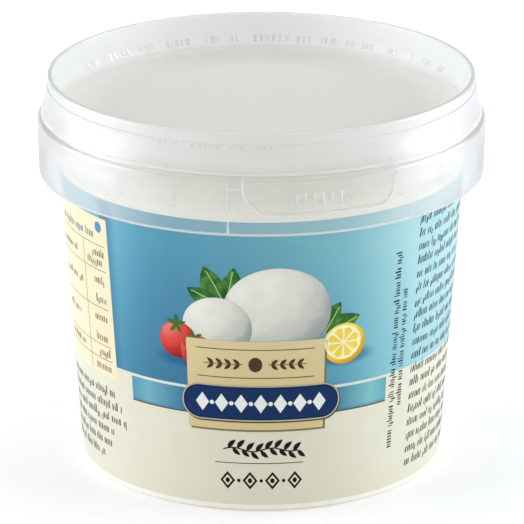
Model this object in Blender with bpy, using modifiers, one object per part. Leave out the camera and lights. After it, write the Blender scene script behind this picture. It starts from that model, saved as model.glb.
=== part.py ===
"""Round plastic food tub with a press-on tear-open lid, shut and filled.

Modelled at real size in metres, +Z up, standing on its base at the origin.
The pull tab of the lid faces -Y.
Pieces: the filled tub, the printed label wrapped round its wall, and the lid.
"""

import math

import bmesh
import bpy
from mathutils import Matrix, Vector

MM = 0.001
SEGMENTS = 72

# Tub
HEIGHT = 87.0 * MM
BASE_RADIUS = 39.6 * MM
WALL_DRAFT = math.radians(3.9)
BASE_ROUNDING = 1.0 * MM
FOOT_HEIGHT = 1.2 * MM
TUB_RIM_TOP = 77.9 * MM
TUB_RIM_HEIGHT = 1.6 * MM
TUB_RIM_RADIUS = 46.2 * MM
TUB_RIM_INNER = 43.9 * MM
FILL_HEIGHT = 76.8 * MM
RIM_EDGE = 0.3 * MM

# Label
LABEL_TOP = 66.9 * MM
LABEL_THICKNESS = 0.2 * MM
GAP = 0.3 * MM
SEAM_WIDTH = 0.6 * MM
SEAM_REACH = 12.0 * MM

# Lid
LID_WALL = 0.9 * MM
PANEL_DEPTH = 9.0 * MM
PANEL_RADIUS = 40.3 * MM
CORNER_RADIUS = 4.8 * MM
RING_INNER = 45.35 * MM
RING_OUTER = 46.37 * MM
RING_BAND = 2.4 * MM
CONE_FOOT = 79.0 * MM
CONE_RADIUS = 47.65 * MM
SKIRT_RADIUS = 48.65 * MM
SKIRT_FOOT_RADIUS = 48.45 * MM
SKIRT_FOOT = 65.2 * MM
SHOULDER_ROUNDING = 1.0 * MM
SHOULDER_TOP = 77.9 * MM

# Lugs inside the lid's skirt
LUG_COUNT = 24
LUG_WIDTH = 1.6 * MM
LUG_FOOT = 70.2 * MM
LUG_TOP = 80.2 * MM

# Pull tab, measured round the skirt from the front
TAB_START = math.radians(-4.6)
TAB_END = math.radians(35.0)
TAB_TOP = 79.6 * MM
TAB_FOOT = 69.9 * MM
TAB_CORNER_START = 6.2 * MM
TAB_CORNER_END = 4.0 * MM
TAB_RIDGE = 0.3 * MM

# Tear line beside the tab
TEAR_ANGLE = math.radians(-8.3)
TEAR_WIDTH = 0.45 * MM
TEAR_TOP = 77.3 * MM
TEAR_DEPTH = 0.45 * MM


def clear_scene():
    for obj in list(bpy.data.objects):
        bpy.data.objects.remove(obj, do_unlink=True)


def new_collection(name):
    collection = bpy.data.collections.new(name)
    bpy.context.scene.collection.children.link(collection)
    return collection


def material(name, colour, roughness, alpha=1.0):
    mat = bpy.data.materials.new(name)
    mat.use_nodes = True
    shader = mat.node_tree.nodes["Principled BSDF"]
    shader.inputs["Base Color"].default_value = (*colour, 1.0)
    shader.inputs["Roughness"].default_value = roughness
    shader.inputs["Metallic"].default_value = 0.0
    shader.inputs["Alpha"].default_value = alpha
    return mat


def add_object(name, mesh, collection, mat=None):
    obj = bpy.data.objects.new(name, mesh)
    collection.objects.link(obj)
    if mat:
        mesh.materials.append(mat)
    return obj


def arc(centre, radius, start_deg, end_deg, steps):
    """Points of an arc in the profile's plane, first and last included."""
    turn = (end_deg - start_deg) / steps
    angles = [math.radians(start_deg + turn * i) for i in range(steps + 1)]
    return [
        (centre[0] + radius * math.cos(a), centre[1] + radius * math.sin(a))
        for a in angles
    ]


def turned(name, profile, collection, mat=None, closed=False):
    """A solid turned about Z from a profile that runs down its outer side."""
    mesh = bpy.data.meshes.new(name)
    edges = [(i, i + 1) for i in range(len(profile) - 1)]
    if closed:
        edges.append((len(profile) - 1, 0))
    mesh.from_pydata([(r, 0.0, z) for r, z in profile], edges, [])
    obj = add_object(name, mesh, collection, mat)
    screw = obj.modifiers.new("turn", "SCREW")
    screw.steps = SEGMENTS
    screw.render_steps = SEGMENTS
    screw.use_merge_vertices = True
    screw.merge_threshold = 0.01 * MM
    screw.use_smooth_shade = True
    return obj


def boolean(obj, other, operation):
    modifier = obj.modifiers.new(other.name, "BOOLEAN")
    modifier.operation = operation
    modifier.solver = "EXACT"
    modifier.object = other


def hide_cutter(obj):
    obj.hide_render = True
    obj.display_type = "WIRE"


def wall_radius(z):
    """Outer radius of the tapered wall at a height."""
    return BASE_RADIUS + z * math.tan(WALL_DRAFT)


def skirt_radius(z):
    """Outer radius of the lid's cone or skirt at a height."""
    if z >= CONE_FOOT:
        share = (HEIGHT - RING_BAND - z) / (HEIGHT - RING_BAND - CONE_FOOT)
        return RING_OUTER + (CONE_RADIUS - RING_OUTER) * share
    if z >= SHOULDER_TOP - SHOULDER_ROUNDING:
        rise = z - (SHOULDER_TOP - SHOULDER_ROUNDING)
        drop = SHOULDER_ROUNDING**2 - min(rise, SHOULDER_ROUNDING) ** 2
        return SKIRT_RADIUS - SHOULDER_ROUNDING + math.sqrt(drop)
    share = (SHOULDER_TOP - z) / (SHOULDER_TOP - SKIRT_FOOT)
    return SKIRT_RADIUS + (SKIRT_FOOT_RADIUS - SKIRT_RADIUS) * share


def tub_profile():
    """From the middle of the filling's top, over the rim and down to the base."""
    rim_foot = TUB_RIM_TOP - TUB_RIM_HEIGHT
    recess_top = LABEL_TOP + GAP
    recess = LABEL_THICKNESS + GAP
    corner = (BASE_RADIUS - BASE_ROUNDING, BASE_ROUNDING)
    return [
        (0.0, FILL_HEIGHT),
        (TUB_RIM_INNER - 2 * RIM_EDGE, FILL_HEIGHT),
        (TUB_RIM_INNER, TUB_RIM_TOP - RIM_EDGE),
        (TUB_RIM_INNER + RIM_EDGE, TUB_RIM_TOP),
        (TUB_RIM_RADIUS - RIM_EDGE, TUB_RIM_TOP),
        (TUB_RIM_RADIUS, TUB_RIM_TOP - RIM_EDGE),
        (TUB_RIM_RADIUS, rim_foot + RIM_EDGE),
        (TUB_RIM_RADIUS - RIM_EDGE, rim_foot),
        (wall_radius(rim_foot), rim_foot),
        (wall_radius(recess_top), recess_top),
        (wall_radius(recess_top) - recess, recess_top),
        (wall_radius(FOOT_HEIGHT) - recess, FOOT_HEIGHT),
        (wall_radius(FOOT_HEIGHT), FOOT_HEIGHT),
        *arc(corner, BASE_ROUNDING, 0, -90, 3),
        (0.0, 0.0),
    ]


def label_profile():
    """A thin closed ring that follows the wall."""
    foot = FOOT_HEIGHT + GAP
    return [
        (wall_radius(LABEL_TOP), LABEL_TOP),
        (wall_radius(foot), foot),
        (wall_radius(foot) - LABEL_THICKNESS, foot),
        (wall_radius(LABEL_TOP) - LABEL_THICKNESS, LABEL_TOP),
    ]


def lid_profile():
    """From the panel's middle, over the ring, down the skirt and back underneath."""
    panel_top = HEIGHT - PANEL_DEPTH
    corner = (PANEL_RADIUS, panel_top + CORNER_RADIUS)
    rim_round = (RING_OUTER - RING_INNER) / 2
    rim_centre = (RING_INNER + rim_round, HEIGHT - rim_round)
    shoulder = (SKIRT_RADIUS - SHOULDER_ROUNDING, SHOULDER_TOP - SHOULDER_ROUNDING)
    crotch_z = LUG_TOP + 1.5 * MM
    return [
        (0.0, panel_top),
        *arc(corner, CORNER_RADIUS, -90, 0, 5),
        *arc(rim_centre, rim_round, 180, 0, 4),
        (skirt_radius(HEIGHT - RING_BAND), HEIGHT - RING_BAND),
        (CONE_RADIUS, CONE_FOOT),
        *arc(shoulder, SHOULDER_ROUNDING, 75, 0, 3),
        (skirt_radius(74 * MM), 74 * MM),
        (SKIRT_FOOT_RADIUS, SKIRT_FOOT + LID_WALL / 3),
        (SKIRT_FOOT_RADIUS - LID_WALL / 3, SKIRT_FOOT),
        (SKIRT_FOOT_RADIUS - LID_WALL, SKIRT_FOOT + LID_WALL / 3),
        (SKIRT_RADIUS - LID_WALL, 74 * MM),
        (SKIRT_RADIUS - LID_WALL, SHOULDER_TOP - SHOULDER_ROUNDING),
        (CONE_RADIUS - LID_WALL, CONE_FOOT - LID_WALL),
        (skirt_radius(crotch_z) - LID_WALL, crotch_z),
        *arc(corner, CORNER_RADIUS + LID_WALL, -15, -90, 4),
        (0.0, panel_top - LID_WALL),
    ]


def lug_outline():
    """One lug in the profile's plane: it grips under the tub's rim."""
    grip = TUB_RIM_TOP - TUB_RIM_HEIGHT - 0.9 * MM
    inner = TUB_RIM_RADIUS - 0.8 * MM
    clear = TUB_RIM_RADIUS + GAP
    return [
        (inner + 1.0 * MM, LUG_FOOT),
        (SKIRT_RADIUS - LID_WALL / 2, LUG_FOOT),
        (SKIRT_RADIUS - LID_WALL / 2, TUB_RIM_TOP - TUB_RIM_HEIGHT),
        (skirt_radius(LUG_TOP) - LID_WALL / 2, LUG_TOP),
        (clear, LUG_TOP),
        (clear, grip + 0.7 * MM),
        (inner, grip),
        (inner, LUG_FOOT + 1.0 * MM),
    ]


def make_lugs(collection):
    """All the lugs as one mesh of separate closed blades, evenly round the lid."""
    bm = bmesh.new()
    for k in range(LUG_COUNT):
        turn = Matrix.Rotation(math.tau * (k + 0.5) / LUG_COUNT - math.pi / 2, 3, "Z")
        outline = [Vector((r, -LUG_WIDTH / 2, z)) for r, z in lug_outline()]
        face = bm.faces.new([bm.verts.new(turn @ point) for point in outline])
        made = bmesh.ops.extrude_face_region(bm, geom=[face])["geom"]
        moved = [v for v in made if isinstance(v, bmesh.types.BMVert)]
        across = turn @ Vector((0.0, LUG_WIDTH, 0.0))
        bmesh.ops.translate(bm, verts=moved, vec=across)
    bmesh.ops.recalc_face_normals(bm, faces=bm.faces)
    mesh = bpy.data.meshes.new("lugs")
    bm.to_mesh(mesh)
    bm.free()
    obj = add_object("lugs", mesh, collection)
    hide_cutter(obj)
    return obj


def tab_path():
    """The tab's outline as angle round the skirt and height, from its top left."""
    start = TAB_START * SKIRT_RADIUS
    end = TAB_END * SKIRT_RADIUS
    left = (start + TAB_CORNER_START, TAB_FOOT + TAB_CORNER_START)
    right = (end - TAB_CORNER_END, TAB_FOOT + TAB_CORNER_END)
    floor_run = right[0] - left[0]
    return [
        (start, TAB_TOP),
        (start, (TAB_TOP + left[1]) / 2),
        *arc(left, TAB_CORNER_START, 180, 270, 5),
        (left[0] + floor_run / 3, TAB_FOOT),
        (left[0] + floor_run * 2 / 3, TAB_FOOT),
        *arc(right, TAB_CORNER_END, -90, 0, 4),
        (end, (TAB_TOP + right[1]) / 2),
        (end, TAB_TOP),
    ]


def make_tab_ridge(collection):
    """A raised bead on the skirt that outlines the pull tab."""
    curve = bpy.data.curves.new("tab_ridge_path", "CURVE")
    curve.dimensions = "3D"
    curve.bevel_depth = TAB_RIDGE
    curve.bevel_resolution = 1
    curve.use_fill_caps = True
    path = tab_path()
    spline = curve.splines.new("POLY")
    spline.points.add(len(path) - 1)
    for point, (along, z) in zip(spline.points, path):
        angle = along / SKIRT_RADIUS - math.pi / 2
        r = skirt_radius(z)
        point.co = (r * math.cos(angle), r * math.sin(angle), z, 1.0)
    guide = bpy.data.objects.new("tab_ridge_path", curve)
    collection.objects.link(guide)
    depsgraph = bpy.context.evaluated_depsgraph_get()
    mesh = bpy.data.meshes.new_from_object(guide.evaluated_get(depsgraph))
    bpy.data.objects.remove(guide, do_unlink=True)
    bm = bmesh.new()
    bm.from_mesh(mesh)
    bmesh.ops.remove_doubles(bm, verts=bm.verts, dist=0.01 * MM)
    bmesh.ops.recalc_face_normals(bm, faces=bm.faces)
    bm.to_mesh(mesh)
    bm.free()
    obj = add_object("tab_ridge", mesh, collection)
    hide_cutter(obj)
    return obj


def make_block(name, size, place, angle, collection):
    """A box whose place is a radius and a height, turned round Z to an angle."""
    bm = bmesh.new()
    bmesh.ops.create_cube(bm, size=1.0)
    bmesh.ops.scale(bm, verts=bm.verts, vec=size)
    mesh = bpy.data.meshes.new(name)
    bm.to_mesh(mesh)
    bm.free()
    obj = add_object(name, mesh, collection)
    radius, height = place
    obj.location = (radius * math.cos(angle), radius * math.sin(angle), height)
    obj.rotation_euler = (0.0, 0.0, angle)
    hide_cutter(obj)
    return obj


def make_tub(parts):
    mat = material("tub_white_polypropylene", (0.80, 0.79, 0.74), 0.35)
    return turned("tub", tub_profile(), parts, mat)


def make_label(parts, cutters):
    mat = material("label_print", (0.16, 0.41, 0.52), 0.3)
    label = turned("label", label_profile(), parts, mat, closed=True)
    seam = make_block(
        "label_seam",
        (SEAM_REACH, SEAM_WIDTH, HEIGHT),
        (wall_radius(LABEL_TOP / 2), HEIGHT / 2),
        math.pi / 2,
        cutters,
    )
    boolean(label, seam, "DIFFERENCE")
    return label


def make_lid(parts, cutters):
    mat = material("lid_clear_polypropylene", (0.86, 0.87, 0.85), 0.3, 0.6)
    lid = turned("lid", lid_profile(), parts, mat)
    boolean(lid, make_lugs(cutters), "UNION")
    boolean(lid, make_tab_ridge(cutters), "UNION")
    tear_height = TEAR_TOP - SKIRT_FOOT + 2 * MM
    tear = make_block(
        "tear_line",
        (2 * TEAR_DEPTH, TEAR_WIDTH, tear_height),
        (SKIRT_RADIUS, TEAR_TOP - tear_height / 2),
        TEAR_ANGLE - math.pi / 2,
        cutters,
    )
    boolean(lid, tear, "DIFFERENCE")
    return lid


def main():
    clear_scene()
    parts = new_collection("food_tub")
    cutters = new_collection("cutters")
    make_tub(parts)
    make_label(parts, cutters)
    make_lid(parts, cutters)


main()
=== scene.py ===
import math
import random

import bmesh
import bpy
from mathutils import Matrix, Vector


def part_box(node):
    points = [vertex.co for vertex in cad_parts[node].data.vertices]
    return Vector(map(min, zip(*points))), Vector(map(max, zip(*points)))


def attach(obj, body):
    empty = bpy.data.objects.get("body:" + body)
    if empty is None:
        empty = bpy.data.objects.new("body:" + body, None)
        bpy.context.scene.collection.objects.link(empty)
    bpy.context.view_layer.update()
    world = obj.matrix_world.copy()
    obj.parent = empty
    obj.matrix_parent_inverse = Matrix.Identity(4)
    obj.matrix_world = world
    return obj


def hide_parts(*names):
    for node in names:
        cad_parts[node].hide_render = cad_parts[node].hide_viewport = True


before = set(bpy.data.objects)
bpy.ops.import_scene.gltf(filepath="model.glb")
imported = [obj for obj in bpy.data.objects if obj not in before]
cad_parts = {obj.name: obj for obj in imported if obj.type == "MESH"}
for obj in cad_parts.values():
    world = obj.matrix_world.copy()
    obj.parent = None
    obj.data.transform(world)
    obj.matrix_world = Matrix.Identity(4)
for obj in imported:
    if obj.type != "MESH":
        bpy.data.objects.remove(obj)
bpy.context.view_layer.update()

MM = 0.001
STEPS = 288                 # facets round the tub, fine enough to look round
FILM_LIFT = 0.02 * MM       # a printed field stands this far off the film below it
PATCH_STEP = 1.2 * MM       # a flat outline is cut this often to bend round the wall


# ---------------------------------------------------------------- sizes, from the frame

TUB_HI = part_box("tub")[1]
LABEL_LO, LABEL_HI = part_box("label")
LID_LO, LID_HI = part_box("lid")

HEIGHT = LID_HI.z                       # the lid's top edge
SKIRT_RADIUS = LID_HI.x                 # the lid's widest radius
SKIRT_FOOT = LID_LO.z
RIM_TOP = TUB_HI.z                      # the tub's rolled rim, under the lid
RIM_RADIUS = TUB_HI.x
LABEL_FOOT, LABEL_TOP = LABEL_LO.z, LABEL_HI.z
DRAFT = math.tan(math.radians(3.9))
BASE_RADIUS = LABEL_HI.x - LABEL_TOP * DRAFT

PANEL_TOP = HEIGHT - 9.0 * MM
PANEL_RADIUS = 40.3 * MM
PANEL_CORNER = 4.8 * MM                 # the wide rounding between panel and ring
RING_INNER = SKIRT_RADIUS - 3.3 * MM
RING_OUTER = SKIRT_RADIUS - 2.28 * MM
RING_BAND = 2.4 * MM                    # the upright band at the very top
CONE_FOOT = HEIGHT - 8.0 * MM
CONE_RADIUS = SKIRT_RADIUS - 1.0 * MM
SHOULDER_TOP = HEIGHT - 9.1 * MM
SHOULDER_ROUNDING = 1.0 * MM
SKIRT_FOOT_RADIUS = SKIRT_RADIUS - 0.2 * MM
LID_WALL = 0.9 * MM
FILL_TOP = PANEL_TOP - LID_WALL - 0.3 * MM

LUG_COUNT = 24                          # lugs inside the skirt, evenly round
TAB_START, TAB_END = -4.6, 35.0         # degrees round the skirt from the front
TEAR_LINE = -8.3                        # degrees, left of the tab
SKIRT_TURN = 180.0 / math.pi / (SKIRT_RADIUS / MM)      # degrees for each mm along the skirt

HAZE_HEIGHTS = (70.0 * MM, 81.0 * MM)   # where the lid's haze starts to rise and ends
THICK_HEIGHTS = (78.5 * MM, 82.0 * MM)  # where the lid's tint goes from thin wall to thick ring
EDGE_HAZE = 0.22                        # haze added where the wall is seen edge-on
INSIDE_GLOSS = 0.12                     # gloss inside the ring, as a share of the outside's

PRINT_RADIUS = 42.5 * MM                # lengths along the print are measured on this radius


def wall_radius(z):
    """Outer radius of the tub's tapering wall."""
    return BASE_RADIUS + z * DRAFT


def polar(radius, angle, z=0.0):
    """A point at a radius from the axis, an angle round from the front and a height."""
    return Vector((radius * math.sin(angle), -radius * math.cos(angle), z))


# ---------------------------------------------------------------- small helpers

def srgb(hex_colour):
    """A linear RGBA colour from an sRGB hex value."""
    values = [int(hex_colour[i:i + 2], 16) / 255 for i in (1, 3, 5)]
    linear = [v / 12.92 if v <= 0.04045 else ((v + 0.055) / 1.055) ** 2.4 for v in values]
    return (*linear, 1.0)


def add(tree, kind, inputs=None, **settings):
    """Adds a node, with its settings, and gives its inputs values or links."""
    node = tree.nodes.new(kind)
    for name, value in settings.items():
        setattr(node, name, value)
    for key, value in (inputs or {}).items():
        if isinstance(value, bpy.types.NodeSocket):
            tree.links.new(value, node.inputs[key])
        else:
            node.inputs[key].default_value = value
    return node


def maths(tree, operation, *values):
    """The output of a Math node on sockets or numbers."""
    node = add(tree, "ShaderNodeMath", dict(enumerate(values)), operation=operation)
    return node.outputs[0]


def spread(tree, value, span, result, smooth=False):
    """A value mapped from its span onto a result's, and held at both ends."""
    node = add(
        tree, "ShaderNodeMapRange",
        {0: value, 1: span[0], 2: span[1], 3: result[0], 4: result[1]},
        interpolation_type="SMOOTHSTEP" if smooth else "LINEAR",
    )
    return node.outputs[0]


def new_material(name):
    """An empty node material with its output, as (material, tree, output)."""
    mat = bpy.data.materials.new(name)
    mat.use_nodes = True
    tree = mat.node_tree
    tree.nodes.clear()
    return mat, tree, add(tree, "ShaderNodeOutputMaterial")


def mixed_colour(tree, factor, first, second):
    """A mix of two colours, each a socket or an RGBA value."""
    mix = add(tree, "ShaderNodeMix", data_type="RGBA")
    for index, value in ((0, factor), (6, first), (7, second)):
        if isinstance(value, bpy.types.NodeSocket):
            tree.links.new(value, mix.inputs[index])
        else:
            mix.inputs[index].default_value = value
    return mix.outputs[2]


def mottle(tree, size, low, high, detail=2.0):
    """A soft noise in real millimetres, spread between two values."""
    place = add(tree, "ShaderNodeTexCoord").outputs["Object"]
    noise = add(
        tree, "ShaderNodeTexNoise",
        {"Vector": place, "Scale": 1.0 / (size * MM), "Detail": detail, "Roughness": 0.55},
    )
    return spread(tree, noise.outputs["Fac"], (0.3, 0.7), (low, high))


def bump(tree, height, depth):
    """A normal from a height socket, as deep as depth millimetres."""
    node = add(tree, "ShaderNodeBump", {"Height": height, "Distance": depth * MM, "Strength": 1.0})
    return node.outputs[0]


def wall_place(tree):
    """Where a point lies on the wall: degrees round from the front, and height in mm."""
    place = add(tree, "ShaderNodeTexCoord").outputs["Object"]
    parts = add(tree, "ShaderNodeSeparateXYZ", {0: place})
    back = maths(tree, "MULTIPLY", parts.outputs[1], -1.0)
    angle = maths(tree, "ARCTAN2", parts.outputs[0], back)
    degrees = maths(tree, "MULTIPLY", angle, 180.0 / math.pi)
    height = maths(tree, "MULTIPLY", parts.outputs[2], 1.0 / MM)
    return degrees, height


def ramp(tree, factor, stops, interpolation="LINEAR"):
    """A colour ramp with stops as (position, RGBA or grey value)."""
    node = add(tree, "ShaderNodeValToRGB", {0: factor})
    node.color_ramp.interpolation = interpolation
    points = node.color_ramp.elements
    while len(points) < len(stops):
        points.new(0.5)
    for point, (position, value) in zip(points, stops):
        point.position = position
        point.color = value if isinstance(value, tuple) else (value, value, value, 1.0)
    return node.outputs[0]


# ---------------------------------------------------------------- mesh helpers

def new_piece(name, mesh, mat):
    """Puts a mesh in the scene as a piece of the tub, with its finish."""
    mesh.materials.append(mat)
    piece = bpy.data.objects.new(name, mesh)
    bpy.context.scene.collection.objects.link(piece)
    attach(piece, "root")
    return piece


def arc(centre, radius, start_deg, end_deg, steps):
    """Points of an arc in a profile's plane, both ends included."""
    points = []
    for i in range(steps + 1):
        a = math.radians(start_deg + (end_deg - start_deg) * i / steps)
        points.append((centre[0] + radius * math.cos(a), centre[1] + radius * math.sin(a)))
    return points


def turned_mesh(name, profile, closed=False, sharp_deg=40.0):
    """A profile of (radius, height) turned round Z; points on the axis are shared."""
    bm = bmesh.new()
    rows = []
    for r, z in profile:
        if r < 0.001 * MM:
            rows.append([bm.verts.new((0.0, 0.0, z))])
            continue
        turn = math.tau / STEPS
        rows.append([bm.verts.new(polar(r, k * turn, z)) for k in range(STEPS)])
    pairs = list(zip(rows, rows[1:]))
    if closed:
        pairs.append((rows[-1], rows[0]))
    for upper, lower in pairs:
        for k in range(STEPS):
            n = (k + 1) % STEPS
            if len(upper) == 1:
                corners = (upper[0], lower[k], lower[n])
            elif len(lower) == 1:
                corners = (upper[k], lower[0], upper[n])
            else:
                corners = (upper[k], lower[k], lower[n], upper[n])
            bm.faces.new(corners)
    bmesh.ops.recalc_face_normals(bm, faces=bm.faces)
    return smooth_mesh(name, bm, sharp_deg)


def smooth_mesh(name, bm, sharp_deg=40.0):
    """The finished mesh of a bmesh, shaded smooth except across sharp corners."""
    mesh = bpy.data.meshes.new(name)
    bm.to_mesh(mesh)
    bm.free()
    mesh.shade_smooth()
    mesh.set_sharp_from_angle(angle=math.radians(sharp_deg))
    return mesh


def solid_piece(name, bm, mat):
    """A closed piece from a bmesh, its faces turned outward, smooth and in its finish."""
    bmesh.ops.recalc_face_normals(bm, faces=bm.faces)
    return new_piece(name, smooth_mesh(name, bm), mat)


def onto_wall(along, z, lift):
    """A point of the print: length along the wall and height, lifted off the film."""
    return polar(wall_radius(z) + lift, along / PRINT_RADIUS, z)


def add_patch(bm, outline, lift):
    """A flat outline of (along, height) cut into strips and laid on the round wall."""
    flat = bmesh.new()
    flat.faces.new([flat.verts.new((s, 0.0, z)) for s, z in outline])
    low = min(s for s, _ in outline)
    high = max(s for s, _ in outline)
    cut = low + PATCH_STEP
    while cut < high - 0.2 * PATCH_STEP:
        bmesh.ops.bisect_plane(
            flat, geom=flat.verts[:] + flat.edges[:] + flat.faces[:],
            plane_co=(cut, 0, 0), plane_no=(1, 0, 0), dist=1e-7,
        )
        cut += PATCH_STEP
    made = {}
    for v in flat.verts:
        made[v] = bm.verts.new(onto_wall(v.co.x, v.co.z, lift))
    for face in flat.faces:
        corners = [made[v] for v in face.verts]
        new = bm.faces.new(corners)
        new.normal_update()
        middle = new.calc_center_median()
        if new.normal.dot(Vector((middle.x, middle.y, 0))) < 0:
            new.normal_flip()
    flat.free()


def print_piece(name, outlines, layer, mat):
    """One printed colour: all its outlines as one mesh, on its layer over the film."""
    bm = bmesh.new()
    for outline in outlines:
        add_patch(bm, [(s * MM, z * MM) for s, z in outline], layer * FILM_LIFT)
    new_piece(name, smooth_mesh(name, bm), mat)


# ---------------------------------------------------------------- outlines, in mm

def rectangle(s0, z0, s1, z1):
    """An outline from its lower left corner to its upper right one."""
    return [(s0, z0), (s1, z0), (s1, z1), (s0, z1)]


def rounded(s0, z0, s1, z1, radius, steps):
    """A rectangle with rounded corners."""
    points = []
    corners = ((s1 - radius, z0 + radius, -90), (s1 - radius, z1 - radius, 0),
               (s0 + radius, z1 - radius, 90), (s0 + radius, z0 + radius, 180))
    for s, z, start in corners:
        points += arc((s, z), radius, start, start + 90, steps)
    return points


def oval(s, z, half_width, half_height, steps=48):
    """An ellipse round a middle point."""
    turn = math.tau / steps
    return [
        (s + half_width * math.cos(k * turn), z + half_height * math.sin(k * turn))
        for k in range(steps)
    ]


def leaf(s, z, length, width, tilt_deg, bend=0.0):
    """A pointed leaf from its stalk end, tilted from level, its middle bent sideways."""
    tilt = math.radians(tilt_deg)
    steps = 10
    upper, lower = [], []
    for i in range(steps + 1):
        t = i / steps
        half = width / 2 * math.sin(math.pi * t ** 0.85) ** 0.9 if 0 < t < 1 else 0.0
        middle = bend * math.sin(math.pi * t)
        upper.append((length * t, middle + half))
        lower.append((length * t, middle - half))
    flat = upper + lower[-2:0:-1]
    c, n = math.cos(tilt), math.sin(tilt)
    return [(s + x * c - y * n, z + x * n + y * c) for x, y in flat]


def stroke(points, width):
    """A thin line through points as an outline."""
    left, right = [], []
    for i, (s, z) in enumerate(points):
        a = points[max(i - 1, 0)]
        b = points[min(i + 1, len(points) - 1)]
        length = math.hypot(b[0] - a[0], b[1] - a[1])
        ns, nz = -(b[1] - a[1]) / length, (b[0] - a[0]) / length
        left.append((s + ns * width / 2, z + nz * width / 2))
        right.append((s - ns * width / 2, z - nz * width / 2))
    return left + right[::-1]


# ---------------------------------------------------------------- plastics

def clear_polypropylene(name, haze_low, haze_high, gloss=0.045, edge="#c8cacc", glow_share=0.55):
    """Unpigmented polypropylene, injection moulded: milky, half clear, glossy outside.

    The haze is what one skin of the wall hides. It grows with the wall's thickness, so it
    rises from haze_low in the skirt to haze_high in the ring, and a little where the wall is
    seen edge-on. edge greys what shows through there: painted shade, for the darker edge that
    refraction and the reflected dim surroundings give a clear wall seen edge-on. glow_share is
    how much of the haze passes light on. The thick ring is a shade greyer, and duller inside
    than outside. The gloss grows up to seven times where the wall turns away.
    """
    mat, tree, out = new_material(name)
    place = add(tree, "ShaderNodeTexCoord").outputs["Object"]
    height = add(tree, "ShaderNodeSeparateXYZ", {0: place}).outputs[2]
    facing = add(tree, "ShaderNodeLayerWeight", {"Blend": 0.5}).outputs["Facing"]
    grazing = maths(tree, "POWER", facing, 4.0)
    haze = spread(tree, height, HAZE_HEIGHTS, (haze_low, haze_high))
    haze = maths(tree, "MULTIPLY_ADD", grazing, EDGE_HAZE, haze)
    thick = spread(tree, height, THICK_HEIGHTS, (0.0, 1.0))
    colour = mixed_colour(tree, thick, srgb("#fefefe"), srgb("#fbfcfc"))
    swirl = bump(tree, mottle(tree, 3.5, 0.0, 1.0), 0.012)
    skin = add(
        tree, "ShaderNodeBsdfPrincipled",
        {"Base Color": colour, "Roughness": 0.5, "Specular IOR Level": 0.0, "Normal": swirl},
    )
    glow = add(tree, "ShaderNodeBsdfTranslucent", {"Color": colour})
    body = add(tree, "ShaderNodeMixShader", {0: glow_share, 1: skin.outputs[0], 2: glow.outputs[0]})
    # Painted shade: what shows through is tinted grey where the wall is seen edge-on.
    clear = add(
        tree, "ShaderNodeBsdfTransparent",
        {"Color": mixed_colour(tree, grazing, srgb("#ffffff"), srgb(edge))},
    )
    whole = add(tree, "ShaderNodeMixShader", {0: haze, 1: clear.outputs[0], 2: body.outputs[0]})
    flat = add(tree, "ShaderNodeVectorMath", {0: place, 1: (1.0, 1.0, 0.0)}, operation="MULTIPLY")
    radius = add(
        tree, "ShaderNodeVectorMath", {0: flat.outputs[0]}, operation="LENGTH").outputs["Value"]
    outside = spread(tree, radius, (RING_INNER - 0.2 * MM, RING_INNER + 0.4 * MM),
                     (INSIDE_GLOSS, 1.0))
    shine = add(tree, "ShaderNodeBsdfGlossy", {"Roughness": 0.3, "Normal": swirl})
    turned = spread(tree, facing, (0.1, 0.5), (gloss, 7.0 * gloss), smooth=True)
    glossed = add(
        tree, "ShaderNodeMixShader",
        {0: maths(tree, "MULTIPLY", turned, outside), 1: whole.outputs[0], 2: shine.outputs[0]},
    )
    tree.links.new(glossed.outputs[0], out.inputs[0])
    return mat


def polished_polypropylene(name, share):
    """The same plastic where the mould is polished: clear, with a face that catches the light."""
    mat, tree, out = new_material(name)
    clear = add(tree, "ShaderNodeBsdfTransparent", {"Color": srgb("#ffffff")})
    shine = add(tree, "ShaderNodeBsdfGlossy", {"Roughness": 0.35})
    whole = add(tree, "ShaderNodeMixShader", {0: share, 1: clear.outputs[0], 2: shine.outputs[0]})
    tree.links.new(whole.outputs[0], out.inputs[0])
    return mat


def white_polypropylene(name):
    """Polypropylene with white pigment, injection moulded: warm white, satin, faintly wavy."""
    mat, tree, out = new_material(name)
    tint = mixed_colour(tree, mottle(tree, 14.0, 0.0, 1.0), srgb("#fbf9f0"), srgb("#f9f7ec"))
    rough = mottle(tree, 5.0, 0.30, 0.38)
    wave = bump(tree, mottle(tree, 6.0, 0.0, 1.0), 0.015)
    skin = add(
        tree, "ShaderNodeBsdfPrincipled",
        {"Base Color": tint, "Roughness": rough, "IOR": 1.49, "Normal": wave},
    )
    tree.links.new(skin.outputs[0], out.inputs[0])
    return mat


# ---------------------------------------------------------------- print on the film

FIELD_FOOT = 28.3           # mm, where the blue field ends and the white one starts
PANEL_EDGE = -49.2          # degrees, the right edge of the cream panel
FOOD_SHADOWS = (            # soft shadows under the pictured food: middle and half sizes, mm
    ((1.0, 37.5), (17.0, 4.5)), ((-17.5, 34.6), (7.5, 2.4)), ((18.5, 35.0), (8.5, 2.6)),
)


def turn_share(angle):
    """Where an angle round from the front lies on the film, from 0 to 1."""
    return (angle + 180.0) / 360.0


def print_length(tree, degrees):
    """The length along the print in mm, from degrees round from the front."""
    return maths(tree, "MULTIPLY", degrees, math.radians(PRINT_RADIUS / MM))


def print_skin(tree, colour, out):
    """The film over the print, as the material's surface: satin, with faint ripples."""
    ripple = bump(tree, mottle(tree, 7.0, 0.0, 1.0), 0.01)
    skin = add(
        tree, "ShaderNodeBsdfPrincipled",
        {"Base Color": colour, "Roughness": 0.3, "IOR": 1.49, "Specular IOR Level": 0.15,
         "Normal": ripple},
    )
    tree.links.new(skin.outputs[0], out.inputs[0])


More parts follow.
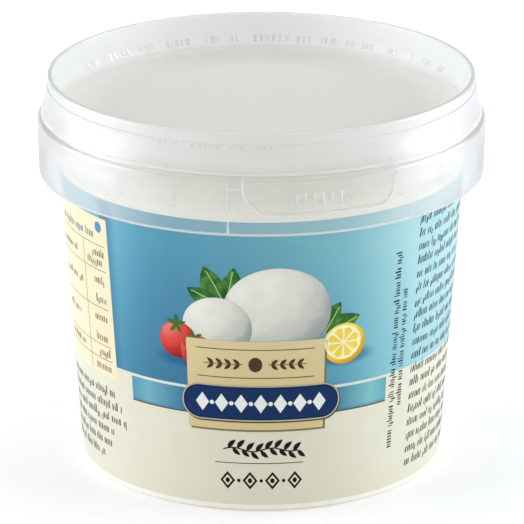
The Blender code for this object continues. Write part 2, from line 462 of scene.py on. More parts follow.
def soft_spot(tree, along, height, middle, half):
    """How far a point lies inside a soft-edged oval of the print, from 0 to 1."""
    u = maths(tree, "MULTIPLY", maths(tree, "SUBTRACT", along, middle[0]), 1.0 / half[0])
    v = maths(tree, "MULTIPLY", maths(tree, "SUBTRACT", height, middle[1]), 1.0 / half[1])
    away = maths(tree, "MULTIPLY_ADD", u, u, maths(tree, "MULTIPLY", v, v))
    return spread(tree, away, (1.0, 0.0), (0.0, 1.0), smooth=True)


def label_film():
    """Printed polypropylene film: a blue field that pales to the right, over warm white."""
    mat, tree, out = new_material("printed_film_blue_over_white")
    degrees, height = wall_place(tree)
    round_share = spread(tree, degrees, (-180.0, 180.0), (0.0, 1.0))
    paling = ramp(tree, round_share, [
        (turn_share(angle), value) for angle, value in (
            (-180, 0.50), (-75, 0.34), (-46, 0.17), (-40, 0.09), (-34, 0.03), (-25, 0.0),
            (-18, 0.04), (5, 0.17), (18, 0.27), (25, 0.32), (30, 0.42), (37, 0.56), (45, 0.70),
            (53, 0.89), (60, 0.91), (70, 0.82), (110, 0.70), (180, 0.50),
        )
    ])
    rise = maths(tree, "MULTIPLY_ADD", height, 0.0085, -0.255)
    tone = maths(tree, "ADD", paling, rise)
    blue = ramp(tree, tone, [
        (0.0, srgb("#3e7ea5")), (0.19, srgb("#5295b4")), (0.30, srgb("#5fa5c1")),
        (0.43, srgb("#72b6cd")), (0.51, srgb("#7dbfd2")), (0.67, srgb("#90cbd8")),
        (0.81, srgb("#a0d4df")), (1.0, srgb("#b3e0e6")),
    ])
    along = print_length(tree, degrees)
    for middle, half in FOOD_SHADOWS:
        spot = maths(tree, "MULTIPLY", soft_spot(tree, along, height, middle, half), 0.75)
        blue = mixed_colour(tree, spot, blue, srgb("#1f5c8f"))
    beside = spread(tree, degrees, (PANEL_EDGE, PANEL_EDGE + 4.5), (0.55, 0.0), smooth=True)
    beside = maths(tree, "MULTIPLY", beside, maths(tree, "GREATER_THAN", degrees, PANEL_EDGE - 3))
    blue = mixed_colour(tree, beside, blue, srgb("#2d6d9c"))
    fine = mottle(tree, 0.35, 0.906, 0.934, 1.0)
    blue = add(tree, "ShaderNodeVectorMath", {0: blue, 3: fine}, operation="SCALE").outputs[0]
    white = mixed_colour(tree, mottle(tree, 16.0, 0.0, 1.0), srgb("#e4e3d1"), srgb("#e2e0cf"))
    is_blue = maths(tree, "GREATER_THAN", height, FIELD_FOOT)
    colour = mixed_colour(tree, is_blue, white, blue)
    print_skin(tree, colour, out)
    return mat


def ink(name, colour, paler=None, grain=3.0):
    """One printed colour, faintly uneven, as ink lies on film."""
    mat, tree, out = new_material(name)
    second = srgb(paler) if paler else tuple(min(1.0, c * 1.08) for c in srgb(colour))
    tone = mixed_colour(tree, mottle(tree, grain, 0.0, 1.0), srgb(colour), second)
    print_skin(tree, tone, out)
    return mat


def painted_round(name, middle, half, tones, wrinkle_mm=0.0):
    """Print that pictures a round thing, shaded as a ball lit from its upper left.

    middle and half are the ball's centre and half sizes along the wall and up, in mm.
    tones run from its dark edge to its lit side. Wrinkles are as wide as wrinkle_mm.
    """
    mat, tree, out = new_material(name)
    degrees, height = wall_place(tree)
    along = print_length(tree, degrees)
    u = maths(tree, "DIVIDE", maths(tree, "SUBTRACT", along, middle[0]), half[0])
    v = maths(tree, "DIVIDE", maths(tree, "SUBTRACT", height, middle[1]), half[1])
    across = maths(tree, "MULTIPLY_ADD", u, u, maths(tree, "MULTIPLY", v, v))
    depth = maths(tree, "SQRT", maths(tree, "MAXIMUM", maths(tree, "SUBTRACT", 1.0, across), 0.0))
    shade = maths(tree, "MULTIPLY_ADD", u, -0.45, maths(tree, "MULTIPLY", v, 0.56))
    shade = maths(tree, "MULTIPLY_ADD", depth, 0.55, shade)
    if wrinkle_mm:
        wrinkle = mottle(tree, wrinkle_mm, -0.10, 0.10, 3.0)
        shade = maths(tree, "ADD", shade, wrinkle)
    shade = maths(tree, "MULTIPLY_ADD", shade, 0.55, 0.42)
    stops = [(i / (len(tones) - 1), srgb(t)) for i, t in enumerate(tones)]
    colour = ramp(tree, shade, stops, "EASE")
    print_skin(tree, colour, out)
    return mat


def painted_leaf(name):
    """Printed basil: deep green, paler in soft patches."""
    mat, tree, out = new_material(name)
    tone = ramp(tree, mottle(tree, 2.2, 0.0, 1.0, 3.0), [
        (0.0, srgb("#1d4a22")), (0.45, srgb("#2f6b2e")), (1.0, srgb("#5d9a45"))])
    print_skin(tree, tone, out)
    return mat


def strokes(rng, start, end, base, tall, slant=0.0, spacing=1.0, upright=False):
    """A row of short strokes in uneven groups, as print too small to read.

    The row runs along the wall from start to end at height base, or up it when upright.
    """
    shapes = []
    at = start
    while at < end:
        for _ in range(rng.randint(3, 9)):
            width = rng.uniform(0.24, 0.46) * spacing
            height = tall * rng.choice((0.62, 0.66, 0.7, 0.7, 0.74, 1.0))
            low = base - (0.28 * tall if rng.random() < 0.1 else 0.0)
            if at + width > end:
                break
            lean = height * slant
            shape = [(at, low), (at + width, low), (at + width + lean, low + height),
                     (at + lean, low + height)]
            shapes.append([(-y, x) for x, y in shape] if upright else shape)
            at += width + rng.uniform(0.26, 0.42) * spacing
        at += 0.75 * spacing
    return shapes


def make_side_panel():
    """The ruled cream panel at the left, with its dot and the small print under it."""
    left, edge, top, foot = -83.0, -36.5, 62.2, 25.3
    blocks = (left, left + 23.5)
    cream = ink("print_cream", "#f5e7c5", "#f3e4be", 12.0)
    print_piece("print_panel", [[(left, foot), (edge + 0.5, foot), (edge, top), (left, top)]],
                1, cream)
    rules = []
    for block in blocks:
        for z in (55.7, 49.9, 41.1, 32.4, 29.1):
            rules.append(rectangle(block + 0.6, z - 0.09, block + 22.0, z + 0.09))
        rules.append(rectangle(block + 13.4, foot + 0.4, block + 13.6, 55.7))
    print_piece("print_panel_rules", rules, 2, ink("print_grey_brown", "#8e866f"))
    rng = random.Random(5)
    rows = []
    for block in blocks:
        values = ((53.0, 4.4), (50.9, 6.6), (46.7, 4.2), (42.3, 4.0), (38.0, 5.0), (33.3, 5.0),
                  (29.9, 4.2), (26.5, 5.8))
        for z, length in values:
            rows += strokes(rng, block + 21.6 - length, block + 21.6, z, 1.9)
        for z, length in ((51.6, 9.0), (45.0, 11.0), (37.0, 8.0), (30.1, 10.0)):
            rows += strokes(rng, block + 1.2, block + 1.2 + length, z, 1.6)
    print_piece("print_panel_rows", rows, 2, ink("print_warm_grey", "#6e6856"))
    heads = []
    for block in blocks:
        heads += strokes(rng, block + 1.5, block + 18.2, 57.0, 2.0)
    print_piece("print_panel_heads", heads, 2, ink("print_slate_blue", "#66788a"))
    print_piece("print_panel_dot", [oval(edge - 2.9, 59.9, 1.15, 1.25)], 2,
                ink("print_mid_blue", "#4a8fc0"))
    notes = []
    ends = (-37.2, -35.0, -33.8, -38.2, -39.0, -42.0)
    for k, end in enumerate(ends):
        notes += strokes(rng, -74.0, end, 20.8 - 3.04 * k, 2.0)
    print_piece("print_panel_notes", notes, 1, ink("print_dark_grey", "#47423a"))


def make_small_print():
    """The slanted block of small print at the right and the two upright rows beside it."""
    rng = random.Random(8)
    light, heavy = [], []
    for k in range(19):
        row = heavy if k in (5, 10, 11, 15) else light
        end = 87.0 - rng.uniform(0.0, 5.0)
        row += strokes(rng, 37.6, end, 61.3 - 3.14 * k, 2.0, slant=0.18)
    upright = strokes(rng, 10.8, 56.5, -32.4, 1.7, upright=True, spacing=0.85)
    upright += strokes(rng, 20.2, 47.4, -34.8, 1.7, upright=True, spacing=0.85)
    print_piece("print_small_rows", light + upright, 1, ink("print_ink_grey", "#22292e"))
    print_piece("print_small_rows_heavy", heavy, 1, ink("print_ink_dark", "#12171b"))


def strip_blue():
    """Blue ink with a pale sheen at each end and a darker foot, as a folded strip has."""
    mat, tree, out = new_material("print_strip_blue")
    degrees, height = wall_place(tree)
    round_share = spread(tree, degrees, (-45.0, 45.0), (0.0, 1.0))
    tone = ramp(tree, round_share, [
        (0.03, srgb("#5096b4")), (0.10, srgb("#70aec0")), (0.24, srgb("#397ba2")),
        (0.76, srgb("#468aa8")), (0.88, srgb("#80bfc7")), (0.97, srgb("#55a0b6")),
    ])
    dark_foot = spread(tree, height, (22.4, 23.3), (0.55, 0.0))
    tone = mixed_colour(tree, dark_foot, tone, srgb("#3d6f93"))
    print_skin(tree, tone, out)
    return mat


def make_strip():
    """The light blue strip on both sides of the card, its shadow and the pale line over it."""
    foot, top = 22.5, 27.9
    sides = ((-31.2, -14.0), (14.0, 29.8))
    print_piece("print_strip", [rectangle(s0, foot, s1, top) for s0, s1 in sides], 1,
                strip_blue())
    line = [rectangle(s0, 28.1, s1, 28.55) for s0, s1 in ((-36.0, 87.5), (-118.0, -84.0))]
    print_piece("print_cream_line", line, 1, ink("print_ivory", "#d6dfd8"))
    print_piece("print_strip_foot", [rectangle(s0, foot - 0.3, s1, foot) for s0, s1 in sides], 1,
                ink("print_strip_shadow", "#4a5248"))


def card_cream():
    """Tan ink of a printed paper card: cloudy, a little paler towards its top."""
    mat, tree, out = new_material("print_card_cream")
    height = wall_place(tree)[1]
    fall = spread(tree, height, (18.0, 40.0), (0.0, 1.0))
    patch = maths(tree, "ADD", mottle(tree, 2.5, -0.1, 0.1), fall)
    tone = ramp(tree, patch, [(0.0, srgb("#dac896")), (0.6, srgb("#dbca99")),
                              (1.0, srgb("#e0d0a4"))])
    print_skin(tree, tone, out)
    return mat


def make_card():
    """The cream card with its shadow, and the sprig between two thin rules on it."""
    left, right = -16.4, 13.8
    card = rectangle(left, 19.2, right, 39.8)
    print_piece("print_card_shadow", [[(s + 0.5, z - 0.45) for s, z in card]], 5,
                ink("print_card_shade", "#7d7358"))
    print_piece("print_card", [card], 6, card_cream())
    middle = (left + right) / 2
    sprigs = []
    for side in (-1, 1):
        for k in range(4):
            s = middle + side * (3.4 + 1.9 * k)
            sprigs.append(leaf(s, 34.4, 1.9, 0.8, 90 - side * 50))
            sprigs.append(leaf(s, 34.4, 1.9, 0.8, -90 + side * 50))
        sprigs.append(stroke([(middle + side * 2.8, 34.4), (middle + side * 11.2, 34.4)], 0.16))
    sprigs.append(oval(middle, 34.4, 1.5, 1.7, 24))
    for z in (31.2, 37.7):
        sprigs.append(rectangle(left + 2.2, z, right - 2.2, z + 0.18))
    print_piece("print_card_sprig", sprigs, 7, ink("print_sepia", "#4a3720"))


def plate_outline(inset):
    """The plate's long round-ended outline, drawn in from its edge."""
    return rounded(-17.8 + inset, 21.2 + inset, 17.5 - inset, 29.5 - inset, 4.1 - inset, 10)


def make_plate():
    """The navy plate across the card: shadow, pale edge, navy field and a row of diamonds."""
    print_piece("print_plate_shadow", [[(s + 0.25, z - 0.35) for s, z in plate_outline(0.0)]], 8,
                ink("print_plate_shade", "#4f4a3c"))
    print_piece("print_plate_edge", [plate_outline(0.0)], 9, ink("print_plate_rim", "#b9b49e"))
    print_piece("print_plate_navy_edge", [plate_outline(0.32)], 10,
                ink("print_navy_deep", "#02224e"))
    print_piece("print_plate_navy", [plate_outline(0.75)], 11,
                ink("print_navy", "#052e62", "#042b5d"))
    first, apart, z = -0.15 - 3 * 4.3, 4.3, 25.35
    row = []
    for k in range(7):
        s = first + apart * k
        row.append([(s - 1.5, z), (s, z - 2.15), (s + 1.5, z), (s, z + 2.15)])
    for k in range(6):
        row.append(oval(first + apart * (k + 0.5), z, 0.5, 0.5, 16))
    print_piece("print_plate_row", row, 12, ink("print_plate_white", "#e9ecec"))


def make_title():
    """The dark ornaments and the thin rule in the white field under the plate."""
    stem = [(-8.6 + 1.05 * k, 14.5 + 0.45 * math.sin(k * 0.75)) for k in range(17)]
    shapes = [stroke(stem, 0.3)]
    for k in range(1, 16, 2):
        s, z = stem[k]
        shapes.append(leaf(s, z, 2.7, 1.1, 48, 0.15))
        s, z = stem[k + 1]
        shapes.append(leaf(s, z, 2.5, 1.0, -44, -0.15))
    shapes.append(rectangle(-10.5, 11.2, 9.5, 11.38))
    z = 7.2
    for k in range(4):
        s = -7.7 + 5.1 * k
        for way in (-1, 1):
            shapes.append([(s - 1.7, z), (s, z + way * 2.1), (s + 1.7, z),
                           (s + 1.1, z), (s, z + way * 1.35), (s - 1.1, z)])
        shapes.append(oval(s, z, 0.5, 0.6, 16))
        if k < 3:
            shapes.append(oval(s + 2.55, z, 0.38, 0.42, 14))
    print_piece("print_title", shapes, 1, ink("print_black_brown", "#0e0b08"))


def make_pictured_food():
    """The printed picture: two white cheeses, basil, red tomatoes and half a lemon."""
    big, big_half = (3.4, 46.3), (11.6, 10.2)
    small, small_half = (-9.6, 42.6), (7.6, 6.9)
    whites = ("#75858c", "#a3abab", "#cccfca", "#e6e7e0", "#f6f6f0")
    leaves = [
        leaf(-8.0, 48.6, 9.0, 5.0, 118, 0.5), leaf(-7.4, 48.4, 8.4, 4.6, 78, -0.4),
        leaf(-8.6, 48.2, 8.0, 4.2, 158, 0.4), leaf(13.6, 41.0, 7.6, 4.4, 62, 0.4),
        leaf(14.0, 40.6, 8.6, 4.6, 24, 0.4),
    ]
    print_piece("picture_basil", leaves, 1, painted_leaf("print_basil_green"))
    veins = [stroke([(-8.0, 48.6), (-9.9, 52.4), (-11.6, 55.4)], 0.22),
             stroke([(-7.4, 48.4), (-6.6, 52.2), (-6.0, 55.6)], 0.22),
             stroke([(-8.6, 48.2), (-12.0, 49.5), (-15.0, 50.8)], 0.22),
             stroke([(13.6, 41.0), (15.4, 44.0), (16.8, 46.6)], 0.22),
             stroke([(14.0, 40.6), (18.0, 42.4), (21.0, 43.7)], 0.22)]
    print_piece("picture_basil_veins", veins, 2, ink("print_pale_green", "#a8cf7e"))
    print_piece("picture_cheese_large", [oval(*big, *big_half, 96)], 2,
                painted_round("print_cheese_large", big, big_half, whites, 4.0))
    print_piece("picture_cheese_small", [oval(*small, *small_half, 72)], 3,
                painted_round("print_cheese_small", small, small_half, whites, 3.0))
    reds = ("#5e0d12", "#8e161b", "#c0262a", "#df4a3f", "#f2857a")
    for k, (middle, half) in enumerate((((-18.4, 38.9), (4.3, 4.2)), ((-14.0, 36.7), (3.9, 3.7)))):
        print_piece(f"picture_tomato_{k + 1}", [oval(*middle, *half, 48)], 4,
                    painted_round(f"print_tomato_red_{k + 1}", middle, half, reds))
    calyx = [leaf(-18.6, 42.4, 2.4, 0.9, a) for a in (20, 95, 160, 230, 300)]
    calyx += [leaf(-14.6, 39.8, 2.1, 0.8, a) for a in (30, 110, 180, 250)]
    print_piece("picture_tomato_leaves", calyx, 5, ink("print_stalk_green", "#3f6f2e"))
    lemon, lemon_half = (18.3, 38.0), (5.0, 4.7)
    print_piece("picture_lemon", [oval(*lemon, *lemon_half, 48)], 4,
                painted_round("print_lemon_rind", lemon, lemon_half,
                              ("#b98a12", "#dba81c", "#f0c431", "#f7d95c", "#fbe78a")))
    s, z = 18.0, 38.3
    print_piece("picture_lemon_pith", [oval(s, z, 4.2, 3.95, 40)], 5,
                ink("print_lemon_pith", "#fbf3c4"))
    wedges = []
    for k in range(8):
        a, b = math.radians(45 * k + 5), math.radians(45 * k + 40)
        middle = (a + b) / 2
        wedges.append([
            (s + wide * math.cos(turn), z + high * math.sin(turn))
            for turn, wide, high in
            ((middle, 0.4, 0.4), (a, 3.3, 3.1), (middle, 3.75, 3.5), (b, 3.3, 3.1))
        ])
    print_piece("picture_lemon_flesh", wedges, 6, ink("print_lemon_flesh", "#f2cf3f", "#f6dc66"))


# ---------------------------------------------------------------- the tub and its film

def make_tub():
    """The white body with its rolled rim, shut full: one turned solid."""
    rim_foot = RIM_TOP - 1.6 * MM
    inner = RIM_RADIUS - 2.3 * MM
    step = 0.02 * MM
    top = LABEL_TOP + 0.3 * MM
    profile = [
        (0.0, FILL_TOP),
        (PANEL_RADIUS, FILL_TOP),
        (PANEL_RADIUS + 1.7 * MM, FILL_TOP + 0.2 * MM),
        (inner - 0.6 * MM, FILL_TOP + 0.6 * MM),
        (inner + 0.7 * MM, RIM_TOP),
        *arc((RIM_RADIUS - 0.7 * MM, RIM_TOP - 0.7 * MM), 0.7 * MM, 90, 0, 6),
        *arc((RIM_RADIUS - 0.5 * MM, rim_foot + 0.5 * MM), 0.5 * MM, 0, -60, 4),
        *arc((wall_radius(rim_foot) + 1.2 * MM, rim_foot - 1.2 * MM), 1.2 * MM, 90, 180, 6),
        (wall_radius(top), top),
        (wall_radius(LABEL_TOP) - step, LABEL_TOP),
        (wall_radius(LABEL_FOOT) - step, LABEL_FOOT),
        *arc((BASE_RADIUS - 1.0 * MM, 1.0 * MM), 1.0 * MM, 0, -90, 8),
        (0.0, 0.0),
    ]
    mesh = turned_mesh("tub_body", profile)
    piece = new_piece("tub_body", mesh, white_polypropylene("white_polypropylene_satin"))
    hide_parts("tub")


def make_film():
    """The printed film, a closed thin sleeve with its seam at the back."""
    bm = bmesh.new()
    gap = 0.25 * MM / wall_radius(LABEL_TOP)
    rows = 12
    outer, inner = [], []
    for j in range(rows + 1):
        z = LABEL_FOOT + (LABEL_TOP - LABEL_FOOT) * j / rows
        for r, ring in ((wall_radius(z), outer), (wall_radius(z) - 0.1 * MM, inner)):
            ring.append([
                bm.verts.new(polar(r, -math.pi + gap + (math.tau - 2 * gap) * k / STEPS, z))
                for k in range(STEPS + 1)
            ])
    for j in range(rows):
        for k in range(STEPS):
            bm.faces.new((outer[j][k], outer[j][k + 1], outer[j + 1][k + 1], outer[j + 1][k]))
            bm.faces.new((inner[j][k], inner[j + 1][k], inner[j + 1][k + 1], inner[j][k + 1]))
    for k in range(STEPS):
        bm.faces.new((outer[0][k], inner[0][k], inner[0][k + 1], outer[0][k + 1]))
        bm.faces.new((outer[-1][k], outer[-1][k + 1], inner[-1][k + 1], inner[-1][k]))
    for j in range(rows):
        bm.faces.new((outer[j][0], outer[j + 1][0], inner[j + 1][0], inner[j][0]))
        bm.faces.new((outer[j][-1], inner[j][-1], inner[j + 1][-1], outer[j + 1][-1]))
    piece = solid_piece("label_film", bm, label_film())
    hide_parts("label")


# ---------------------------------------------------------------- the lid

def cone_radius(z):
    """Outer radius of the lid at a height, from the ring down to the skirt's foot."""
    if z >= HEIGHT - RING_BAND:
        return RING_OUTER
    if z >= CONE_FOOT:
        share = (HEIGHT - RING_BAND - z) / (HEIGHT - RING_BAND - CONE_FOOT)
        return RING_OUTER + (CONE_RADIUS - RING_OUTER) * share
    if z >= SHOULDER_TOP - SHOULDER_ROUNDING:
        rise = min(z - (SHOULDER_TOP - SHOULDER_ROUNDING), SHOULDER_ROUNDING)
        return SKIRT_RADIUS - SHOULDER_ROUNDING + math.sqrt(SHOULDER_ROUNDING ** 2 - rise ** 2)
    share = (SHOULDER_TOP - z) / (SHOULDER_TOP - SKIRT_FOOT)
    return SKIRT_RADIUS + (SKIRT_FOOT_RADIUS - SKIRT_RADIUS) * share


def lid_profile():
    """Panel, wide corner, ring, cone, shoulder and skirt, and back over the tub's rim."""
    corner = (PANEL_RADIUS, PANEL_TOP + PANEL_CORNER)
    half = (RING_OUTER - RING_INNER) / 2
    shoulder = (SKIRT_RADIUS - SHOULDER_ROUNDING, SHOULDER_TOP - SHOULDER_ROUNDING)
    band = HEIGHT - RING_BAND
    lip = LID_WALL / 2
    return [
        (0.0, PANEL_TOP),
        (PANEL_RADIUS * 0.5, PANEL_TOP),
        *arc(corner, PANEL_CORNER, -90, 0, 14),
        *arc((RING_INNER + half, HEIGHT - half), half, 180, 0, 12),
        (RING_OUTER + 0.02 * MM, band + 0.3 * MM),
        (RING_OUTER + 0.05 * MM, band),
        (RING_OUTER + 0.24 * MM, band - 0.1 * MM),
        (cone_radius(band - 0.5 * MM) + 0.1 * MM, band - 0.5 * MM),
        (cone_radius((band + CONE_FOOT) / 2), (band + CONE_FOOT) / 2),
        (CONE_RADIUS, CONE_FOOT),
        (CONE_RADIUS + 0.08 * MM, CONE_FOOT - 0.5 * MM),
        *arc(shoulder, SHOULDER_ROUNDING, 72, 0, 8),
        (SKIRT_RADIUS - 0.05 * MM, SKIRT_FOOT + 6.0 * MM),
        *arc((SKIRT_FOOT_RADIUS - lip, SKIRT_FOOT + lip), lip, 0, -180, 8),
        (SKIRT_RADIUS - LID_WALL, SKIRT_FOOT + 6.0 * MM),
        (SKIRT_RADIUS - LID_WALL, SHOULDER_TOP - 2.6 * MM),
        (RIM_RADIUS + 0.15 * MM, SHOULDER_TOP - 1.3 * MM),
        (RIM_RADIUS + 0.15 * MM, RIM_TOP + 0.25 * MM),
        (RIM_RADIUS - 1.4 * MM, RIM_TOP + 0.25 * MM),
        *arc(corner, PANEL_CORNER + LID_WALL, -57, -90, 6),
        (0.0, PANEL_TOP - LID_WALL),
    ]


def make_lid(plastic):
    """The lid's one moulding, pressed over the tub's rim."""
    mesh = turned_mesh("lid_moulding", lid_profile(), sharp_deg=50.0)
    piece = new_piece("lid_moulding", mesh, plastic)
    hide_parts("lid")


def make_beads(plastic):
    """The skirt's thicker lower edge and the cone foot's small step: light lines, in part painted
    highlight.
    """
    foot = (SKIRT_FOOT_RADIUS - 0.3 * MM, SKIRT_FOOT + 0.3 * MM)
    step = (CONE_RADIUS - 0.02 * MM, CONE_FOOT - 0.45 * MM)
    # In part painted highlight: the beads' milky plastic gives the light lines that glints along
    # the real lip and crease give, and the step's bead lays a pale line over the shaded pocket seen
    # through the cone's foot.
    for name, middle, radius in (("lid_foot_bead", foot, 0.28), ("lid_step_bead", step, 0.34)):
        mesh = turned_mesh(name, arc(middle, radius * MM, 0, 315, 7), closed=True)
        new_piece(name, mesh, plastic)


def add_blade(bm, outline, angle, width):
    """A flat blade in the plane through the axis, width thick, closed."""
    side = Vector((math.cos(angle), math.sin(angle), 0.0)) * (width / 2)
    out = polar(1.0, angle)
    rows = []
    for sign in (-1, 1):
        rows.append([bm.verts.new(out * r + Vector((0, 0, z)) + side * sign) for r, z in outline])
    bm.faces.new(rows[0])
    bm.faces.new(rows[1][::-1])
    for i in range(len(outline)):
        n = (i + 1) % len(outline)
        bm.faces.new((rows[0][i], rows[1][i], rows[1][n], rows[0][n]))


def make_lugs(plastic):
    """The lugs' outer edges, which read through the skirt as pale bars."""
    bm = bmesh.new()
    faces = [
        (SKIRT_FOOT_RADIUS - 0.2 * MM, SHOULDER_TOP - 7.2 * MM),
        (SKIRT_RADIUS - 0.2 * MM, SHOULDER_TOP - 1.2 * MM),
    ]
    outline = faces + [(r - 0.12 * MM, z - 0.06 * MM) for r, z in reversed(faces)]
    for k in range(LUG_COUNT):
        add_blade(bm, outline, math.tau * (k + 0.5) / LUG_COUNT, 1.4 * MM)
    solid_piece("lid_lugs", bm, plastic)


def add_bead(bm, path, radius, sides=8):
    """A round bead laid along points, closed at both ends."""
    rings = []
    for i, p in enumerate(path):
        a = path[max(i - 1, 0)]
        b = path[min(i + 1, len(path) - 1)]
        along = (b - a).normalized()
        out = Vector((p.x, p.y, 0.0)).normalized()
        across = along.cross(out).normalized()
        out = across.cross(along)
        rings.append([
            bm.verts.new(p + (out * math.cos(t) + across * math.sin(t)) * radius)
            for t in (math.tau * k / sides for k in range(sides))
        ])
    for one, two in zip(rings, rings[1:]):
        for k in range(sides):
            n = (k + 1) % sides
            bm.faces.new((one[k], one[n], two[n], two[k]))
    bm.faces.new(rings[0])
    bm.faces.new(rings[-1][::-1])


def on_skirt(angle_deg, z, lift):
    """A point on the lid's outside at an angle from the front, lifted off it."""
    return polar(cone_radius(z) + lift, math.radians(angle_deg), z)


def make_tab(plastic):
    """The raised outline of the pull tab on the skirt, its hook and its grip ribs."""
    start, end = TAB_START / SKIRT_TURN, TAB_END / SKIRT_TURN       # in mm, as the rest is
    foot, top = 69.9, 79.6
    left, right = 6.2, 4.0      # the lower corners' radii
    flat = [(start, top), (start, top - 1.5), (start, foot + left + 1.0)]
    flat += arc((start + left, foot + left), left, 180, 270, 14)
    run = end - right - (start + left)
    flat += [(start + left + run * k / 16, foot) for k in range(1, 16)]
    flat += arc((end - right, foot + right), right, -90, 0, 12)
    flat += [(end, foot + right + 2.0), (end, top - 1.5), (end, top)]
    path = [on_skirt(s * SKIRT_TURN, z * MM, -0.3 * MM) for s, z in flat]
    bm = bmesh.new()
    add_bead(bm, path, 0.44 * MM, 14)
    hook = ((33.4, 78.2), (34.6, 78.3), (35.8, 78.2), (36.2, 77.0), (36.0, 75.8), (34.4, 75.6))
    add_bead(bm, [on_skirt(angle, z * MM, -0.25 * MM) for angle, z in hook], 0.34 * MM, 12)
    for k in range(6):
        rib = [on_skirt(8.6 + 2.3 * k, z * MM, -0.3 * MM) for z in (71.6, 72.6, 73.6, 74.6)]
        add_bead(bm, rib, 0.4 * MM, 12)
    solid_piece("lid_tab_outline", bm, plastic)


def make_tear_line(plastic):
    """The line where the skirt tears, left of the tab, with its notch and a small bridge."""
    bm = bmesh.new()
    low, high = SKIRT_FOOT + 0.3 * MM, SHOULDER_TOP - 0.6 * MM
    line = [on_skirt(TEAR_LINE, low + (high - low) * k / 12, -0.1 * MM) for k in range(13)]
    add_bead(bm, line, 0.16 * MM)
    notch = [on_skirt(TEAR_LINE, SKIRT_FOOT + z * MM, -0.25 * MM) for z in (0.32, 0.9, 1.6)]
    add_bead(bm, notch, 0.3 * MM)
    bridge = [on_skirt(TEAR_LINE + along * SKIRT_TURN, 75.6 * MM, -0.15 * MM)
              for along in (0.0, 0.7, 1.4, 2.1, 2.8)]
    add_bead(bm, bridge, 0.24 * MM)
    solid_piece("lid_tear_line", bm, plastic)


def make_marks():
    """Plain raised ticks in uneven groups: flat outside in front, sloped inside at the back.

    A tick's root, foot and top are distances in mm from the radius that its row lies on.
    """
    rng = random.Random(11)
    corner = math.sqrt(PANEL_CORNER ** 2 - (PANEL_CORNER - 3.3 * MM) ** 2)
    front = polished_polypropylene("polished_polypropylene_front", 0.2)
    back = polished_polypropylene("polished_polypropylene_back", 0.16)
    rows = (
        ("lid_marks_front", front, -29.0, 3.0, HEIGHT - 3.2 * MM, 1.1,
         cone_radius(HEIGHT - 3.2 * MM), (-0.5, 0.1, 0.1)),
        ("lid_marks_back", back, 116.0, 244.0, PANEL_TOP + 3.3 * MM, 1.3,
         PANEL_RADIUS + corner, (0.2, -0.9, -0.05)),
    )
    for name, plastic, start, end, z, tall, r, (root, foot, top) in rows:
        bm = bmesh.new()
        angle = start
        while angle < end:
            for _ in range(rng.randint(2, 6)):
                width = rng.uniform(0.35, 0.9)
                half = rng.choice((0.4, 0.5, 0.5)) * tall * MM
                outline = [(r + root * MM, z - half), (r + foot * MM, z - half),
                           (r + top * MM, z + half), (r + root * MM, z + half)]
                add_blade(bm, outline, math.radians(angle), width * MM)
                angle += math.degrees((width + rng.uniform(0.5, 0.9)) * MM / r)
            angle += rng.uniform(1.5, 4.0)
        solid_piece(name, bm, plastic)


# ---------------------------------------------------------------- floor, light, camera

def make_floor():
    """A plain pale floor, faintly lit from below as a light table is."""
    bpy.ops.mesh.primitive_plane_add(size=6.0, location=(0.0, 0.0, -0.0002))
    floor = bpy.context.object
    floor.name = "floor"
    mat, tree, out = new_material("pale_floor")
    skin = add(
        tree, "ShaderNodeBsdfPrincipled",
        {"Base Color": srgb("#fdfdff"), "Roughness": 0.9, "Specular IOR Level": 0.0,
         "Emission Color": srgb("#f4f6ff"), "Emission Strength": 0.17},
    )
    tree.links.new(skin.outputs[0], out.inputs[0])
    floor.data.materials.append(mat)


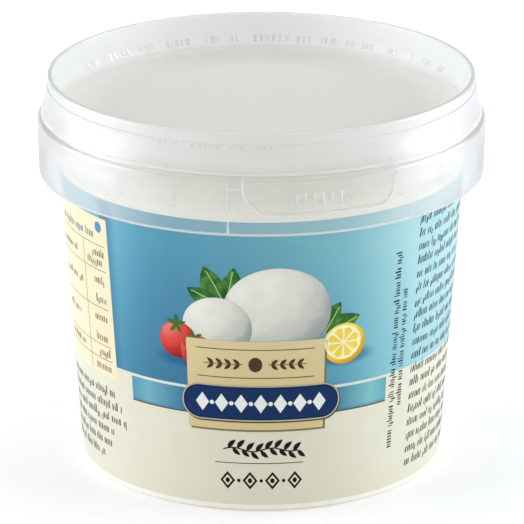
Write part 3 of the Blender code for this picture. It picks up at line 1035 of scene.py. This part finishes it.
def add_softbox(name, azimuth, elevation, distance, width, tall, power, colour):
    """An area light that faces the tub, placed by its direction in degrees and its distance."""
    a, e = math.radians(azimuth), math.radians(elevation)
    way = polar(math.cos(e), a, math.sin(e))
    data = bpy.data.lights.new(name, "AREA")
    data.shape = "RECTANGLE"
    data.size, data.size_y = width, tall
    data.energy = power
    data.color = srgb(colour)[:3]
    lamp = bpy.data.objects.new(name, data)
    bpy.context.scene.collection.objects.link(lamp)
    lamp.location = way * distance + Vector((0, 0, HEIGHT / 2))
    lamp.rotation_euler = (-way).to_track_quat("-Z", "Y").to_euler()


def make_lights():
    """Two upright softboxes beside the tub, a weak one in front, one overhead, and a fill."""
    add_softbox("softbox_left", -88, 12, 0.9, 0.8, 0.9, 8.0, "#f4f7ff")
    add_softbox("softbox_right", 94, 12, 0.9, 0.85, 0.9, 8.8, "#f4f7ff")
    add_softbox("softbox_front", 0, 12, 1.4, 1.6, 0.9, 3.3, "#fff8dc")
    add_softbox("softbox_top", 180, 82, 1.0, 1.2, 1.2, 6.7, "#f8fcff")
    world = bpy.data.worlds.new("studio")
    world.use_nodes = True
    fill = world.node_tree.nodes["Background"]
    fill.inputs["Color"].default_value = srgb("#fffbdc")
    fill.inputs["Strength"].default_value = 0.15
    bpy.context.scene.world = world
    bpy.context.scene.view_settings.view_transform = "Standard"


def make_camera():
    """A long lens a metre away, looking 19 degrees down at the tub's middle."""
    distance, down = 1.0, math.radians(19.1)
    target = Vector((0.0, 0.0, 42.95 * MM))
    way = polar(math.cos(down), 0.0, math.sin(down))
    data = bpy.data.cameras.new("camera")
    data.sensor_width = 36.0
    data.lens = 312.2
    data.shift_x = 0.00105
    camera = bpy.data.objects.new("camera", data)
    bpy.context.scene.collection.objects.link(camera)
    camera.location = target + way * distance
    camera.rotation_euler = (-way).to_track_quat("-Z", "Y").to_euler()
    bpy.context.scene.camera = camera


make_camera()
make_lights()
make_floor()
make_tub()
make_film()
make_side_panel()
make_small_print()
make_strip()
make_card()
make_plate()
make_title()
make_pictured_food()
lid_plastic = clear_polypropylene("clear_polypropylene_lid", 0.08, 0.58)
make_lid(lid_plastic)
lug_plastic = polished_polypropylene("polished_polypropylene_lugs", 0.16)
# Milkier than the lid and without gloss, so the tab's outline, the tear line and the beads show as
# pale lines: partly the thicker plastic of real ridges, partly painted highlight for the glints
# they catch.
ridge_and_highlight_plastic = clear_polypropylene("clear_polypropylene_ridge_and_highlight", 0.5, 0.55, 0.0, "#ffffff", 0.1)
make_lugs(lug_plastic)
make_tab(ridge_and_highlight_plastic)
make_tear_line(ridge_and_highlight_plastic)
make_beads(ridge_and_highlight_plastic)
make_marks()
